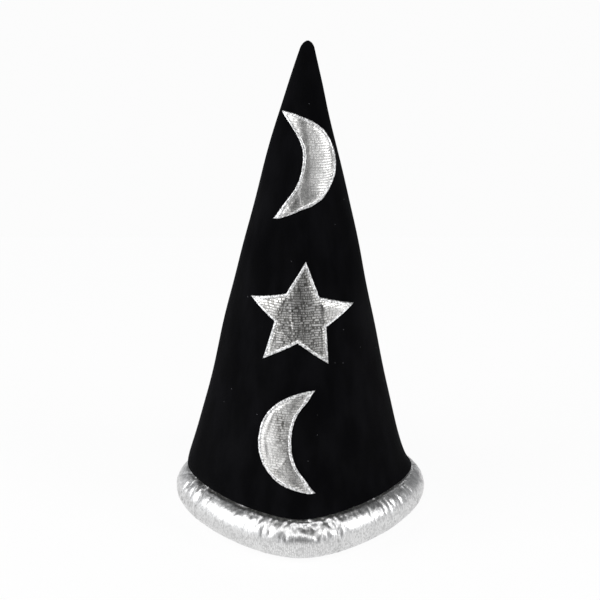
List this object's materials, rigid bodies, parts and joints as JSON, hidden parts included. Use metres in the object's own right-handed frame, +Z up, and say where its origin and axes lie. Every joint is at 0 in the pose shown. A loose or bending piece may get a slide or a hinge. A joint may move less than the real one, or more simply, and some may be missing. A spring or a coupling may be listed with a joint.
{
  "type": "witch hat",
  "caption": "Tall black velour cone costume hat with stitched silver moon and star patches and a stuffed silver roll brim.",
  "frame": {"origin": "middle of the footprint, on the plane that the brim rests on", "axes": "+Z up along the cone to its tip, -Y towards the front with the patches and the front crease, +X to the viewer's right"},
  "size_m": [0.2324, 0.2211, 0.452],
  "materials": {
    "velour": "short-pile black velour, matt with a faint grazing sheen",
    "foam": "thin pale foam interlining",
    "lining": "thin black woven lining with a low sheen",
    "black_thread": "black sewing thread",
    "silver_patch": "silver metallic cloth with fine sewn rows",
    "silver_thread": "bright silver satin-stitch thread",
    "silver_cloth": "shiny silver metallic cloth, finely ribbed and puckered",
    "wadding": "soft white polyester wadding",
    "band_cloth": "black ribbed tape",
    "label_cloth": "plain white woven tape, blank"
  },
  "bodies": {
    "root": {"outer_cone": "velour", "foam_interlining": "foam", "lining_cone": "lining", "back_seam_stitching": "black_thread", "lining_seam_stitching": "black_thread", "upper_moon": "silver_patch", "upper_moon_border": "silver_thread", "star": "silver_patch", "star_border": "silver_thread", "lower_moon": "silver_patch", "lower_moon_border": "silver_thread", "brim_cover": "silver_cloth", "brim_wadding": "wadding", "brim_seam_stitching": "black_thread", "brim_join_stitching": "silver_thread", "sweatband": "band_cloth", "sweatband_stitching": "black_thread", "care_label": "label_cloth", "care_label_stitching": "black_thread"}
  },
  "joints": []
}
